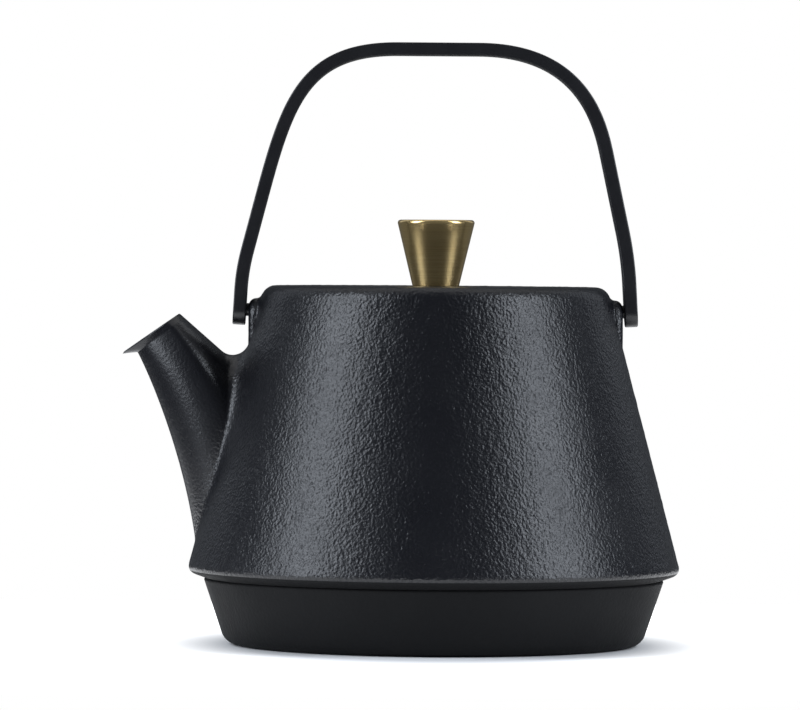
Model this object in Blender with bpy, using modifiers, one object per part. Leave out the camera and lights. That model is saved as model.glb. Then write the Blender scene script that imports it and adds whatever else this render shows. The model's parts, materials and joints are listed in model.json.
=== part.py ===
"""Cast-iron teapot: bail handle, flush lid with a turned brass knob, lift-out steel infuser.

Frame: metres, +Z up. The origin is the centre of the flat underside, on the pot's own axis.
The spout points along -X, and the handle swings about an axis that runs along X.
Lengths marked R are radii, Z are heights above the underside.
"""

import math

import bmesh
import bpy
from mathutils import Vector

OBJECT_NAME = "teapot"
MM = 0.001
GAP = 0.3 * MM                 # left between pieces that touch or nest

# --- driving dimensions -------------------------------------------------------------------
# Pot, outside
FOOT_R = 70.2 * MM             # foot's wall, carried down to the underside
FOOT_TOP_R = 77.8 * MM
FOOT_TOP_Z = 21.2 * MM
FOOT_EDGE = 5.5 * MM           # rounding of the bottom edge
LIP_R = 83.3 * MM              # cone's wall, carried down to the underside of the lip
LIP_Z = 24.6 * MM
LIP_EDGE = 3.5 * MM
SHOULDER_R = 57.85 * MM        # cone's wall, carried up to the top face
TOP_Z = 121.0 * MM
SHOULDER_EDGE = 5.0 * MM
CONE_SLOPE = (LIP_R - SHOULDER_R) / (TOP_Z - LIP_Z)

# Pot, inside
WALL = 3.9 * MM
FLOOR_Z = 4.5 * MM
FLOOR_EDGE = 6.0 * MM
RECESS_R = 44.5 * MM           # step that the lid drops into
LEDGE_Z = 117.0 * MM           # ledge that carries the infuser's rim
MOUTH_R = 38.0 * MM            # opening inside the ledge
CEILING_Z = 113.5 * MM         # underside of the ledge
CEILING_R = 47.5 * MM

# Handle and its pivots
PIVOT_Z = 112.7 * MM
STRAP_T = 4.4 * MM             # strap thickness, in its own plane
STRAP_W = 10.2 * MM            # strap width, along Y
STRAP_EDGE = 0.8 * MM
STRAP_TOP_Z = 203.1 * MM       # highest point of the handle
FOOT_LEAN = math.radians(3.2)  # the last stretch of each leg stands almost upright
LEG_GAUGE_Z = 140.0 * MM       # height at which the distance of a leg from the axis is given
# The hand-bent legs differ. A shoulder bend is a Bezier from the bridge to the straight leg.
LEGS = {
    -1: {"bridge_x": 13.2 * MM, "bridge_pull": 31.9 * MM, "straight_z": 150.0 * MM,
         "leg_pull": 34.0 * MM, "lean": math.radians(14.6), "gauge_x": 61.7 * MM,
         "ankle_z": 126.0 * MM, "ankle_bend": 68.0 * MM},
    1: {"bridge_x": 14.1 * MM, "bridge_pull": 35.8 * MM, "straight_z": 164.5 * MM,
        "leg_pull": 11.6 * MM, "lean": math.radians(12.05), "gauge_x": 62.9 * MM,
        "ankle_z": 130.7 * MM, "ankle_bend": 118.0 * MM},
}
PIN_R = 2.2 * MM
PIN_HOLE_R = PIN_R + GAP
PIN_INNER_X = 59.4 * MM
PIN_OUTER_X = 67.9 * MM

# Ears cast on the shoulder
EAR_FACE_X = 63.1 * MM
EAR_ROOT_X = 54.0 * MM
EAR_TOP_Z = 116.6 * MM
EAR_W = 15.0 * MM
EAR_LOW_Z = 94.0 * MM
EAR_EDGE = 1.6 * MM
EAR_HOLE_X = 59.0 * MM         # bottom of the blind hole

# Spout: the upper and lower edge of each section in the XZ plane, then its half width
SPOUT_STATIONS = [
    ((-86.4, 111.4), (-105.5, 98.2), 8.6),
    ((-85.4, 110.1), (-100.4, 98.2), 9.6),
    ((-82.4, 107.5), (-96.0, 89.6), 11.0),
    ((-77.5, 103.3), (-90.4, 76.0), 13.0),
    ((-73.0, 99.4), (-86.0, 62.4), 14.8),
    ((-68.3, 97.3), (-82.4, 48.8), 16.2),
    ((-62.0, 96.8), (-80.2, 37.5), 17.0),
    ((-50.0, 96.0), (-70.0, 34.0), 17.0),
]
SPOUT_WIDEST = (0.22, 0.40)    # where a section is widest, from its upper edge: mouth, root
SPOUT_WALL = 2.6 * MM
SPOUT_TIP_POWER = 1.7          # above 1 draws the mouth to a point

# Lid
LID_R = RECESS_R - GAP
LID_EDGE = 0.5 * MM
LID_UNDER_Z = 117.2 * MM
SKIRT_R = 35.0 * MM
SKIRT_T = 2.6 * MM
SKIRT_LOW_Z = 111.5 * MM
LID_HOLE_R = 2.3 * MM

# Knob and its screw
KNOB_TOP_Z = 143.4 * MM
KNOB_TOP_R = 13.5 * MM
KNOB_LOW_R = 7.85 * MM
KNOB_EDGE = 0.8 * MM
KNOB_BORE_R = 2.1 * MM
KNOB_BORE_Z = 134.0 * MM
SCREW_R = 1.8 * MM
SCREW_TOP_Z = 133.0 * MM
SCREW_HEAD_R = 3.5 * MM
SCREW_HEAD_H = 2.2 * MM
HEX_R = 1.45 * MM
HEX_DEPTH = 1.3 * MM
WASHER_R = 4.5 * MM
WASHER_T = 0.9 * MM

# Infuser
SHEET = 0.8 * MM
RIM_R = RECESS_R - 0.4 * MM
COLLAR_R = MOUTH_R - 0.5 * MM
COLLAR_LOW_Z = 112.0 * MM
INFUSER_LOW_Z = 70.0 * MM
INFUSER_EDGE = 3.0 * MM

BODY_STEPS = 64                # facets round the pot
SMALL_STEPS = 40               # facets round the lid and infuser
FINE_STEPS = 24                # facets round the knob, pins and screw
ARC_STEPS = 4                  # segments in a rounded corner of a profile
RING_POINTS = 28               # points round a spout section


# --- scene and materials ------------------------------------------------------------------
def start_scene():
    """Empty the scene and make the two collections."""
    for old in list(bpy.data.objects):
        bpy.data.objects.remove(old, do_unlink=True)
    collections = []
    for name in (OBJECT_NAME, OBJECT_NAME + "_cutters"):
        collection = bpy.data.collections.new(name)
        bpy.context.scene.collection.children.link(collection)
        collections.append(collection)
    return collections


def finish(name, colour, roughness, metallic):
    """A Principled material."""
    material = bpy.data.materials.new(name)
    material.use_nodes = True
    shader = material.node_tree.nodes["Principled BSDF"]
    shader.inputs["Base Color"].default_value = (*colour, 1.0)
    shader.inputs["Roughness"].default_value = roughness
    shader.inputs["Metallic"].default_value = metallic
    material.diffuse_color = (*colour, 1.0)
    return material


PARTS, CUTTERS = start_scene()
BLACK_IRON = finish("black_iron", (0.018, 0.019, 0.021), 0.45, 0.0)
BLACK_STRAP = finish("black_strap", (0.014, 0.014, 0.016), 0.38, 0.0)
AGED_BRASS = finish("aged_brass", (0.55, 0.42, 0.20), 0.32, 1.0)
STAINLESS = finish("stainless", (0.62, 0.62, 0.61), 0.28, 1.0)


# --- helpers ------------------------------------------------------------------------------
def add_object(name, mesh, material=None, location=(0.0, 0.0, 0.0)):
    """Link a mesh as a part, or as a cutter when it has no material."""
    part = bpy.data.objects.new(name, mesh)
    part.location = location
    if material is None:
        CUTTERS.objects.link(part)
        part.hide_render = True
        part.display_type = 'WIRE'
    else:
        mesh.materials.append(material)
        PARTS.objects.link(part)
    return part


def joint_empty(name, height):
    """An empty on the pot's axis that a moving assembly hangs from."""
    empty = bpy.data.objects.new(name, None)
    empty.location = (0.0, 0.0, height)
    PARTS.objects.link(empty)
    return empty


def hang(part, empty):
    """Parent a part to a joint's empty, keeping its place in the world."""
    part.location = Vector(part.location) - Vector(empty.location)
    part.parent = empty


def cut(part, cutter, operation='DIFFERENCE'):
    """Add an exact Boolean to a part."""
    boolean = part.modifiers.new(cutter.name, 'BOOLEAN')
    boolean.object = cutter
    boolean.operation = operation
    boolean.solver = 'EXACT'


def rounded(points):
    """Outline from (a, b, radius) corners; a radius above 0 becomes an arc."""
    outline = []
    count = len(points)
    for index, (a, b, radius) in enumerate(points):
        corner = Vector((a, b))
        if radius == 0.0:
            outline.append(corner)
            continue
        before = Vector(points[index - 1][:2]) - corner
        after = Vector(points[(index + 1) % count][:2]) - corner
        before.normalize()
        after.normalize()
        half = before.angle(after) / 2.0
        reach = radius / math.tan(half)
        centre = corner + (before + after).normalized() * (radius / math.sin(half))
        start = corner + before * reach - centre
        end = corner + after * reach - centre
        sweep = start.angle_signed(end)
        for step in range(ARC_STEPS + 1):
            turn = -sweep * step / ARC_STEPS
            spun = Vector((start.x * math.cos(turn) - start.y * math.sin(turn),
                           start.x * math.sin(turn) + start.y * math.cos(turn)))
            outline.append(centre + spun)
    return outline


def turned(name, corners, steps, material=None, base_z=0.0, ring=False):
    """Turned solid: a profile in (radius, height) at +X, spun about Z by a Screw modifier.

    The profile runs down its outer side. It starts and ends on the axis, or closes on
    itself when ring is true.
    """
    outline = rounded(corners)
    mesh = bpy.data.meshes.new(name)
    shape = bmesh.new()
    verts = [shape.verts.new((radius, 0.0, height - base_z)) for radius, height in outline]
    for first, second in zip(verts, verts[1:]):
        shape.edges.new((first, second))
    if ring:
        shape.edges.new((verts[-1], verts[0]))
    shape.to_mesh(mesh)
    shape.free()
    part = add_object(name, mesh, material, (0.0, 0.0, base_z))
    screw = part.modifiers.new("turn", 'SCREW')
    screw.steps = steps
    screw.render_steps = steps
    screw.use_merge_vertices = True
    screw.merge_threshold = 0.00001
    screw.use_smooth_shade = True
    return part


def rod(name, radius, start_x, end_x, height, steps, material=None):
    """Round rod along X at a height on the pot's centre plane."""
    bpy.ops.mesh.primitive_cylinder_add(vertices=steps, radius=radius, depth=abs(end_x - start_x))
    made = bpy.context.object
    mesh = made.data
    bpy.data.objects.remove(made, do_unlink=True)
    part = add_object(name, mesh, material, ((start_x + end_x) / 2.0, 0.0, height))
    part.rotation_euler = (0.0, math.pi / 2.0, 0.0)
    mesh.shade_smooth()
    mesh.set_sharp_from_angle(angle=math.radians(40.0))
    return part


# --- pot: one hollow iron casting ------------------------------------------------------------
def cone_r(height):
    """Outer radius of the cone wall at a height."""
    return SHOULDER_R + CONE_SLOPE * (TOP_Z - height)


def pot_outside():
    """Foot, overhanging lip and cone as one turned solid."""
    return turned("pot_body", [
        (0.0, TOP_Z, 0.0),
        (SHOULDER_R, TOP_Z, SHOULDER_EDGE),
        (LIP_R, LIP_Z, LIP_EDGE),
        (FOOT_TOP_R, FOOT_TOP_Z, 0.0),
        (FOOT_R, 0.0, FOOT_EDGE),
        (0.0, 0.0, 0.0),
    ], BODY_STEPS, BLACK_IRON)


def pot_inside():
    """Everything hollow on the axis: recess, mouth and cavity."""
    above = TOP_Z + 5.0 * MM
    shoulder_z = TOP_Z - WALL
    knee_z = LIP_Z + WALL
    return turned("pot_cavity", [
        (0.0, above, 0.0),
        (RECESS_R, above, 0.0),
        (RECESS_R, LEDGE_Z, 0.0),
        (MOUTH_R, LEDGE_Z, 0.0),
        (MOUTH_R, CEILING_Z, 0.0),
        (CEILING_R, CEILING_Z, 0.0),
        (CEILING_R + 3.0 * MM, shoulder_z, 0.0),
        (cone_r(shoulder_z) - WALL, shoulder_z, 0.0),
        (cone_r(knee_z) - WALL, knee_z, 0.0),
        (FOOT_TOP_R - WALL, FOOT_TOP_Z + 1.5 * MM, 0.0),
        (FOOT_R + (FOOT_TOP_R - FOOT_R) * FLOOR_Z / FOOT_TOP_Z - WALL, FLOOR_Z, FLOOR_EDGE),
        (0.0, FLOOR_Z, 0.0),
    ], BODY_STEPS)


def spout_ring(upper, lower, half_width, widest, tip_power):
    """One egg-shaped section: two half ellipses that meet where the spout is widest.

    The section's plane holds the upper and lower edge points and the Y direction.
    """
    ring = []
    for step in range(RING_POINTS):
        angle = 2.0 * math.pi * step / RING_POINTS
        fall = -math.cos(angle)
        side = math.sin(angle)
        if fall < 0.0:
            along = widest * (1.0 + fall)
        else:
            along = widest + (1.0 - widest) * fall
            side = math.copysign(abs(side) ** tip_power, side)
        spot = upper.lerp(lower, along)
        ring.append(Vector((spot.x, side * half_width, spot.y)))
    return ring


def spout_loft(name, inset):
    """Spout as a loft; an inset above 0 makes the passage, which runs out past the mouth."""
    last = len(SPOUT_STATIONS) - 1
    rings = []
    for index, (upper, lower, half_width) in enumerate(SPOUT_STATIONS):
        upper = Vector(upper) * MM
        lower = Vector(lower) * MM
        widest = SPOUT_WIDEST[0] + (SPOUT_WIDEST[1] - SPOUT_WIDEST[0]) * index / last
        tip_power = SPOUT_TIP_POWER if index == 0 else 1.0
        across = (lower - upper).normalized()
        upper += across * inset
        lower -= across * inset
        rings.append(spout_ring(upper, lower, half_width * MM - inset, widest, tip_power))
    if inset > 0.0:
        outward = Vector((-0.55, 0.0, 0.84)) * 4.0 * MM
        inward = Vector((10.0, 0.0, -2.0)) * MM
        rings.insert(0, [spot + outward for spot in rings[0]])
        rings.append([spot + inward for spot in rings[-1]])

    shape = bmesh.new()
    loops = [[shape.verts.new(spot) for spot in ring] for ring in rings]
    for near, far in zip(loops, loops[1:]):
        for index in range(RING_POINTS):
            after = (index + 1) % RING_POINTS
            shape.faces.new((near[index], near[after], far[after], far[index]))
    shape.faces.new(loops[0])
    shape.faces.new(reversed(loops[-1]))
    bmesh.ops.recalc_face_normals(shape, faces=shape.faces)
    mesh = bpy.data.meshes.new(name)
    shape.to_mesh(mesh)
    shape.free()
    return add_object(name, mesh)


def ear(name, side):
    """Tongue with a round top, standing off the shoulder; side is -1 at the spout, +1 behind."""
    depth = EAR_FACE_X - EAR_ROOT_X
    centre_z = EAR_TOP_Z - EAR_W / 2.0
    curve = bpy.data.curves.new(name, 'CURVE')
    curve.dimensions = '2D'
    curve.fill_mode = 'BOTH'
    curve.extrude = depth / 2.0
    half = EAR_W / 2.0
    points = [(half, EAR_LOW_Z), (-half, EAR_LOW_Z)]
    arc = 12
    for step in range(arc + 1):
        angle = math.pi - math.pi * step / arc
        points.append((half * math.cos(angle), centre_z + half * math.sin(angle)))
    outline = curve.splines.new('POLY')
    outline.points.add(len(points) - 1)
    for point, (across, height) in zip(outline.points, points):
        point.co = (across, height, 0.0, 1.0)
    outline.use_cyclic_u = True

    flat = bpy.data.objects.new(name + "_outline", curve)
    bpy.context.scene.collection.objects.link(flat)
    bpy.context.view_layer.update()
    solid = bpy.data.meshes.new_from_object(flat.evaluated_get(bpy.context.evaluated_depsgraph_get()))
    bpy.data.objects.remove(flat, do_unlink=True)
    shape = bmesh.new()
    shape.from_mesh(solid)
    bmesh.ops.remove_doubles(shape, verts=shape.verts, dist=0.00001)
    shape.to_mesh(solid)
    shape.free()
    part = add_object(name, solid, None, (side * (EAR_FACE_X + EAR_ROOT_X) / 2.0, 0.0, 0.0))
    part.rotation_euler = (math.pi / 2.0, 0.0, math.pi / 2.0)
    bevel = part.modifiers.new("edge", 'BEVEL')
    bevel.width = EAR_EDGE
    bevel.segments = 2
    bevel.limit_method = 'ANGLE'
    bevel.angle_limit = math.radians(60.0)
    return part


def make_pot():
    """Join the spout and ears to the turned body, then hollow it out."""
    pot = pot_outside()
    cut(pot, spout_loft("spout_outside", 0.0), 'UNION')
    for side, word in ((-1, "front"), (1, "rear")):
        cut(pot, ear("ear_" + word, side), 'UNION')
    cut(pot, pot_inside())
    cut(pot, spout_loft("spout_passage", SPOUT_WALL))
    for side, word in ((-1, "front"), (1, "rear")):
        hole = rod("ear_hole_" + word, PIN_HOLE_R, side * EAR_HOLE_X,
                   side * (EAR_FACE_X + 3.0 * MM), PIVOT_Z, FINE_STEPS)
        cut(pot, hole)


# --- handle: a flat strap bent in the XZ plane, on two pegs -----------------------------------
def bezier(corners, blend):
    """Point on a cubic Bezier: the corners weighted by (1-t)^3, 3t(1-t)^2, 3t^2(1-t) and t^3."""
    rest = 1.0 - blend
    return (corners[0] * rest ** 3 + corners[1] * 3.0 * blend * rest ** 2
            + corners[2] * 3.0 * blend ** 2 * rest + corners[3] * blend ** 3)


def strap_path(leg):
    """Middle of the strap's thickness from the top centre down one leg, as (distance from the axis, z)."""
    down = Vector((math.sin(leg["lean"]), -math.cos(leg["lean"])))
    foot = Vector((math.sin(FOOT_LEAN), -math.cos(FOOT_LEAN)))
    top_z = STRAP_TOP_Z - STRAP_T / 2.0

    def on_leg(height):
        return Vector((leg["gauge_x"] + (LEG_GAUGE_Z - height) * math.tan(leg["lean"]), height))

    bridge = Vector((leg["bridge_x"], top_z))
    straight = on_leg(leg["straight_z"])
    corners = (bridge, bridge + Vector((leg["bridge_pull"], 0.0)),
               straight - down * leg["leg_pull"], straight)
    path = [Vector((0.0, top_z))]
    bend_steps = 16
    for step in range(bend_steps + 1):
        path.append(bezier(corners, step / bend_steps))

    ankle = on_leg(leg["ankle_z"])
    reach = leg["ankle_bend"] * math.tan((leg["lean"] - FOOT_LEAN) / 2.0)
    start = ankle - down * reach
    end = ankle + foot * reach
    ankle_steps = 4
    for step in range(ankle_steps + 1):
        blend = step / ankle_steps
        path.append(start.lerp(ankle, blend).lerp(ankle.lerp(end, blend), blend))
    path.append(end + foot * (end.y - PIVOT_Z) / math.cos(FOOT_LEAN))
    return path, foot


def make_handle(pivot):
    """Strap as a ribbon with half-round ends, thickened, edge-rounded and drilled."""
    half = STRAP_W / 2.0
    shape = bmesh.new()

    def pair(spot, side):
        return (shape.verts.new((side * spot.x, -half, spot.y - PIVOT_Z)),
                shape.verts.new((side * spot.x, half, spot.y - PIVOT_Z)))

    top = pair(Vector((0.0, STRAP_TOP_Z - STRAP_T / 2.0)), 1)
    for side in (1, -1):
        path, foot = strap_path(LEGS[side])
        before = top
        for spot in path[1:-1]:
            after = pair(spot, side)
            shape.faces.new((before[0], before[1], after[1], after[0]))
            before = after
        end = [before[0], before[1]]
        arc = 12
        for step in range(arc + 1):
            angle = math.pi * step / arc
            spot = path[-1] + foot * half * math.sin(angle)
            end.append(shape.verts.new((side * spot.x, half * math.cos(angle), spot.y - PIVOT_Z)))
        shape.faces.new(end)
    bmesh.ops.recalc_face_normals(shape, faces=shape.faces)
    mesh = bpy.data.meshes.new("handle_bar")
    shape.to_mesh(mesh)
    shape.free()
    bar = add_object("handle_bar", mesh, BLACK_STRAP, (0.0, 0.0, PIVOT_Z))

    thicken = bar.modifiers.new("thickness", 'SOLIDIFY')
    thicken.thickness = STRAP_T
    thicken.offset = 0.0
    thicken.use_even_offset = True
    bevel = bar.modifiers.new("edge", 'BEVEL')
    bevel.width = STRAP_EDGE
    bevel.segments = 2
    bevel.limit_method = 'ANGLE'
    bevel.angle_limit = math.radians(50.0)
    hang(bar, pivot)

    for side, word in ((-1, "front"), (1, "rear")):
        hole = rod("bar_hole_" + word, PIN_HOLE_R, side * 60.0 * MM, side * 72.0 * MM,
                   PIVOT_Z, FINE_STEPS)
        cut(bar, hole)
        peg = rod(word + "_pivot_peg", PIN_R, side * PIN_INNER_X, side * PIN_OUTER_X,
                  PIVOT_Z, FINE_STEPS, BLACK_STRAP)
        hang(peg, pivot)


# --- lid, knob and fastening ------------------------------------------------------------------
def make_lid(seat):
    """Flush iron disc with a locating skirt, and the brass knob screwed to it from below."""
    rim_z = LEDGE_Z + SHEET + 2.0 * GAP
    lid = turned("lid", [
        (LID_HOLE_R, TOP_Z, 0.0),
        (LID_R, TOP_Z, LID_EDGE),
        (LID_R, rim_z, 0.0),
        (SKIRT_R, rim_z, 0.0),
        (SKIRT_R, SKIRT_LOW_Z, 0.0),
        (SKIRT_R - SKIRT_T, SKIRT_LOW_Z, 0.0),
        (SKIRT_R - SKIRT_T, LID_UNDER_Z, 1.0 * MM),
        (LID_HOLE_R, LID_UNDER_Z, 0.0),
    ], SMALL_STEPS, BLACK_IRON, TOP_Z, ring=True)

    knob_low_z = TOP_Z + GAP
    knob = turned("lid_knob", [
        (0.0, KNOB_TOP_Z, 0.0),
        (KNOB_TOP_R, KNOB_TOP_Z, KNOB_EDGE),
        (KNOB_LOW_R, knob_low_z, 0.3 * MM),
        (KNOB_BORE_R, knob_low_z, 0.0),
        (KNOB_BORE_R, KNOB_BORE_Z, 0.0),
        (0.0, KNOB_BORE_Z, 0.0),
    ], FINE_STEPS, AGED_BRASS, TOP_Z)

    washer_top = LID_UNDER_Z - GAP
    washer_low = washer_top - WASHER_T
    washer = turned("knob_washer", [
        (LID_HOLE_R, washer_top, 0.0),
        (WASHER_R, washer_top, 0.0),
        (WASHER_R, washer_low, 0.0),
        (LID_HOLE_R, washer_low, 0.0),
    ], FINE_STEPS, STAINLESS, TOP_Z, ring=True)

    head_top = washer_low - GAP
    head_low = head_top - SCREW_HEAD_H
    screw = turned("knob_screw", [
        (0.0, SCREW_TOP_Z, 0.0),
        (SCREW_R, SCREW_TOP_Z, 0.4 * MM),
        (SCREW_R, head_top, 0.0),
        (SCREW_HEAD_R, head_top, 0.0),
        (SCREW_HEAD_R, head_low, 0.5 * MM),
        (0.0, head_low, 0.0),
    ], FINE_STEPS, STAINLESS, TOP_Z)
    socket = turned("hex_socket", [
        (0.0, head_low + HEX_DEPTH, 0.0),
        (HEX_R, head_low + HEX_DEPTH, 0.0),
        (HEX_R, head_low - HEX_DEPTH, 0.0),
        (0.0, head_low - HEX_DEPTH, 0.0),
    ], 6)
    cut(screw, socket)
    for part in (lid, knob, washer, screw):
        hang(part, seat)


# --- infuser ------------------------------------------------------------------------------
def make_infuser(seat):
    """Stainless basket: a flanged collar, a tube and a dished floor, resting on the ledge."""
    rim_low = LEDGE_Z + GAP
    rim = turned("infuser_rim", [
        (COLLAR_R - SHEET, rim_low + SHEET, 0.0),
        (RIM_R, rim_low + SHEET, 0.0),
        (RIM_R, rim_low, 0.0),
        (COLLAR_R, rim_low, 0.0),
        (COLLAR_R, COLLAR_LOW_Z, 0.0),
        (COLLAR_R - SHEET, COLLAR_LOW_Z, 0.0),
    ], SMALL_STEPS, STAINLESS, LEDGE_Z, ring=True)

    tube_r = COLLAR_R - SHEET - GAP
    wall = turned("infuser_wall", [
        (tube_r - SHEET, LEDGE_Z, 0.0),
        (tube_r, LEDGE_Z, 0.0),
        (tube_r, INFUSER_LOW_Z, 0.0),
        (tube_r - SHEET, INFUSER_LOW_Z, 0.0),
    ], SMALL_STEPS, STAINLESS, LEDGE_Z, ring=True)

    dish_r = tube_r - SHEET - GAP
    dish_top = INFUSER_LOW_Z + 5.0 * MM
    floor = turned("infuser_floor", [
        (0.0, INFUSER_LOW_Z + SHEET, 0.0),
        (dish_r - SHEET, INFUSER_LOW_Z + SHEET, INFUSER_EDGE - SHEET),
        (dish_r - SHEET, dish_top, 0.0),
        (dish_r, dish_top, 0.0),
        (dish_r, INFUSER_LOW_Z, INFUSER_EDGE),
        (0.0, INFUSER_LOW_Z, 0.0),
    ], SMALL_STEPS, STAINLESS, LEDGE_Z)
    for part in (rim, wall, floor):
        hang(part, seat)


make_pot()
make_handle(joint_empty("handle_pivot", PIVOT_Z))
make_lid(joint_empty("lid_seat", TOP_Z))
make_infuser(joint_empty("infuser_seat", LEDGE_Z))
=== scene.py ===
# %% [markdown]
# A cast-iron teapot
#
# The pot is one iron casting: a low foot, a cone that overhangs it, a short spout and two ears that carry
# a flat bail handle. A flush lid with a turned brass knob drops into the top, over a steel infuser.
# The solids in the frame already fix every size and every joint. This lesson makes the surfaces:
# the pebbled iron, the fillets where the spout grows out of the cone, the drawn strap and the turned brass.
# Lengths are metres, +Z is up, and the spout points along -X.

# %% Load the frame
import json
import math

import bmesh
import bpy
import numpy as np
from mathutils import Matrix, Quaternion, Vector


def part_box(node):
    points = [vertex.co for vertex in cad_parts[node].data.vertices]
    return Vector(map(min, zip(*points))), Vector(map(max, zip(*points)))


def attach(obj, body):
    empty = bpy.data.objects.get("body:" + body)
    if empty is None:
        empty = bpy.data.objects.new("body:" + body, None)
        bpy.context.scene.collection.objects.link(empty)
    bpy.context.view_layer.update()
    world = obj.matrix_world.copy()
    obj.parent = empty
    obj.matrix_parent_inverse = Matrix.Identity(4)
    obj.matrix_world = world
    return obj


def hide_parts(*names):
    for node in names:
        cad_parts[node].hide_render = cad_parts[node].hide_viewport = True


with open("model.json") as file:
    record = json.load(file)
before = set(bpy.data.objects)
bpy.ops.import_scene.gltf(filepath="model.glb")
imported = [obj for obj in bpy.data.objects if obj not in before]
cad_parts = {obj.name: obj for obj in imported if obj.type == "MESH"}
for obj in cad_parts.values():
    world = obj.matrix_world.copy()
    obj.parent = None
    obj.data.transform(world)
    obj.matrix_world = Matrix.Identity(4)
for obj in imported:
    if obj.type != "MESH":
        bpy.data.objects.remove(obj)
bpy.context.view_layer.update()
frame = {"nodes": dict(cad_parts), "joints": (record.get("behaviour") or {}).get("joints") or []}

# %% [markdown]
# Sizes come from the solids where a box gives them, such as the widest ring of the pot, the height of its
# top face and the pivot of the handle. The others are the drawing's own, such as the slope of the foot.
# The seam is drawn 1.5 mm higher than in the solids and the lip is rounded more tightly.

# %% Driving sizes
MM = 0.001
pot_low, pot_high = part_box("pot_body")
strap_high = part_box("handle_bar")[1]
lid_low, lid_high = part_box("lid")
knob_low, knob_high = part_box("lid_knob")
rim_low, rim_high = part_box("infuser_rim")
tube_low, tube_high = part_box("infuser_wall")
dish_low, dish_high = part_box("infuser_floor")
pivot_z = next(j["pos_m"][2] for j in frame["joints"] if j["name"] == "handle_swing")

TOP_Z = pot_high.z
LIP_R = pot_high.y + 0.56 * MM      # where the cone's wall and the underside of the lip would meet
LIP_Z = 24.6 * MM
SEAM_R, SEAM_Z = 77.8 * MM, 22.7 * MM
FOOT_R = 70.2 * MM
SHOULDER_R = 57.85 * MM
WALL = 3.9 * MM
FLOOR_Z = 4.5 * MM
LID_R = lid_high.y
RECESS_R = LID_R + 0.3 * MM
LEDGE_Z = rim_low.z + 4.7 * MM
MOUTH_R = 38.0 * MM
CEILING_R, CEILING_Z = 47.5 * MM, TOP_Z - 7.5 * MM
CONE_SLOPE = (LIP_R - SHOULDER_R) / (TOP_Z - LIP_Z)


def cone_radius(height):
    """Outer radius of the cone at a height: it loses CONE_SLOPE for every metre going up."""
    return SHOULDER_R + CONE_SLOPE * (TOP_Z - height)


print(f"widest {2 * pot_high.y / MM:.1f} mm, top face at {TOP_Z / MM:.1f} mm, "
      f"cone leans {math.degrees(math.atan(CONE_SLOPE)):.1f} degrees, pivot at {pivot_z / MM:.1f} mm")

# %% [markdown]
# Most pieces are a grid of points: rows by columns by (x, y, z). Four neighbours make a face. A grid that
# goes round closes its last column onto its first, and one whose rows come back to the start closes that
# way too. Points that coincide, as at a pole, are merged, and a negative volume is turned right side out.

# %% Grids into meshes
collection = bpy.data.collections.new("teapot_surfaces")
bpy.context.scene.collection.children.link(collection)


def grid_faces(rows, columns, round_rows, round_columns):
    """Corner numbers of every cell of a grid, with the closing cells where a direction goes round."""
    number = np.arange(rows * columns).reshape(rows, columns)
    if round_columns:
        number = np.concatenate([number, number[:, :1]], axis=1)
    if round_rows:
        number = np.concatenate([number, number[:1]], axis=0)
    cells = [number[:-1, :-1], number[:-1, 1:], number[1:, 1:], number[1:, :-1]]
    return np.stack(cells, axis=-1).reshape(-1, 4)


def grid_mesh(name, points, round_rows=False, round_columns=True, weld=2e-6):
    """A mesh from one grid of points, with doubles merged and faces pointing outwards."""
    rows, columns = points.shape[:2]
    mesh = bpy.data.meshes.new(name)
    faces = grid_faces(rows, columns, round_rows, round_columns)
    mesh.from_pydata(points.reshape(-1, 3).tolist(), [], faces.tolist())
    shape = bmesh.new()
    shape.from_mesh(mesh)
    bmesh.ops.remove_doubles(shape, verts=shape.verts, dist=weld)
    if shape.calc_volume(signed=True) < 0.0:
        bmesh.ops.reverse_faces(shape, faces=shape.faces)
    open_edges = sum(1 for edge in shape.edges if not edge.is_manifold)
    print(f"{name}: {len(shape.verts)} points, {len(shape.faces)} faces, "
          f"{shape.calc_volume() / MM ** 3 / 1000:.2f} ml, {open_edges} open edges")
    shape.to_mesh(mesh)
    shape.free()
    return mesh


def show(name, mesh, body, materials, nodes=(), sharp=40.0):
    """Makes the mesh a piece: smooth shading with sharp edges kept, its body, slot and replaced nodes."""
    mesh.shade_smooth()
    mesh.set_sharp_from_angle(angle=math.radians(sharp))
    piece = bpy.data.objects.new(name, mesh)
    collection.objects.link(piece)
    for material in materials:
        mesh.materials.append(material)
    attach(piece, body)
    if nodes:
        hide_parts(*nodes)
    return piece


def carve(mesh, cutters):
    """The mesh with the cutter meshes taken out of it by an exact Boolean."""
    target = bpy.data.objects.new("carving", mesh)
    collection.objects.link(target)
    tools = []
    for cutter in cutters:
        tool = bpy.data.objects.new("cutter", cutter)
        collection.objects.link(tool)
        tools.append(tool)
        boolean = target.modifiers.new("cut", 'BOOLEAN')
        boolean.object = tool
        boolean.operation = 'DIFFERENCE'
        boolean.solver = 'EXACT'
    depsgraph = bpy.context.evaluated_depsgraph_get()
    carved = bpy.data.meshes.new_from_object(target.evaluated_get(depsgraph))
    for temporary in (target, *tools):
        bpy.data.objects.remove(temporary)
    return carved


# %% [markdown]
# A turned piece is a profile of (radius, height) points carried round the axis. The profile's corners are
# rounded with true arcs, and each straight run is filled with points at its own spacing, so that a surface
# that will carry fine relief gets a fine grid and a hidden one stays light.

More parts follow.
